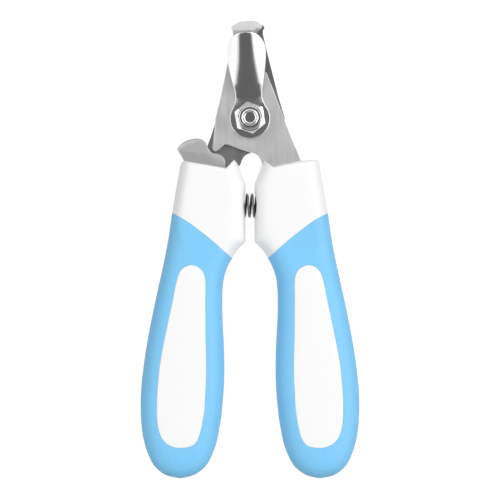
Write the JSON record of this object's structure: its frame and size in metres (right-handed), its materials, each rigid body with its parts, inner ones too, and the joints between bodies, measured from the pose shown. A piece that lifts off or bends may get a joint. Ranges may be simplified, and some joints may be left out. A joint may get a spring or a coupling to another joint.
{
  "type": "scissor nail clipper",
  "caption": "Scissor-action pet nail clipper, closed and locked, with hooked crossing blades, a swivelling stop guard, a side lock lever, a return spring and contoured two-tone handles.",
  "frame": {"origin": "on the resting surface, under the middle of the outline of the closed clipper", "axes": "+Y runs from the handles to the jaws, +Z out of the face that carries the nut and the guard, +X towards the right handle seen from the front; the pivot's axis is along Z"},
  "size_m": [0.0622, 0.1297, 0.0149],
  "materials": {
    "blade_steel_front": "fine brushed, light",
    "blade_steel_rear": "fine brushed, in shade",
    "guard_steel": "polished spring steel",
    "lever_steel": "tumbled satin",
    "fastener_steel": "bright zinc-plated",
    "spring_steel": "dark drawn wire",
    "nut_nylon": "dark nylon",
    "shell_white": "smooth moulded",
    "grip_blue": "soft-touch, satin",
    "inlay_white": "smooth moulded"
  },
  "bodies": {
    "left_handle": {"rear_blade": "blade_steel_rear", "pivot_bolt": "fastener_steel", "bolt_washer": "fastener_steel", "pivot_nut": "fastener_steel", "nut_insert": "nut_nylon", "lock_rivet": "fastener_steel", "left_shell_front": "shell_white", "left_shell_rear": "shell_white", "left_grip": "grip_blue", "left_inlay_front": "inlay_white", "left_inlay_rear": "inlay_white", "left_tang_pins": "fastener_steel", "return_spring": "spring_steel"},
    "right_handle": {"front_blade": "blade_steel_front", "right_shell_front": "shell_white", "right_shell_rear": "shell_white", "right_grip": "grip_blue", "right_inlay_front": "inlay_white", "right_inlay_rear": "inlay_white", "right_tang_pins": "fastener_steel"},
    "guard": {"stop_guard": "guard_steel"},
    "lever": {"lock_lever": "lever_steel"}
  },
  "joints": [
    {"name": "handle_open", "type": "hinge", "parent": "left_handle", "child": "right_handle", "pos_m": [0, 0.037, 0.0075], "axis": [0, 0, 1], "range_deg": [0, 16], "deforming": ["return_spring"]},
    {"name": "lock_swing", "type": "hinge", "parent": "left_handle", "child": "lever", "pos_m": [-0.0108, 0.0197, 0.0075], "axis": [0, 0, 1], "range_deg": [0, 45]},
    {"name": "guard_swivel", "type": "hinge", "parent": "left_handle", "child": "guard", "pos_m": [0, 0.037, 0.009], "axis": [0, 0, 1], "range_deg": [-60, 60]}
  ],
  "couplings": [
    {"joint": "lock_swing", "follows": "handle_open", "ratio": 2.8}
  ]
}
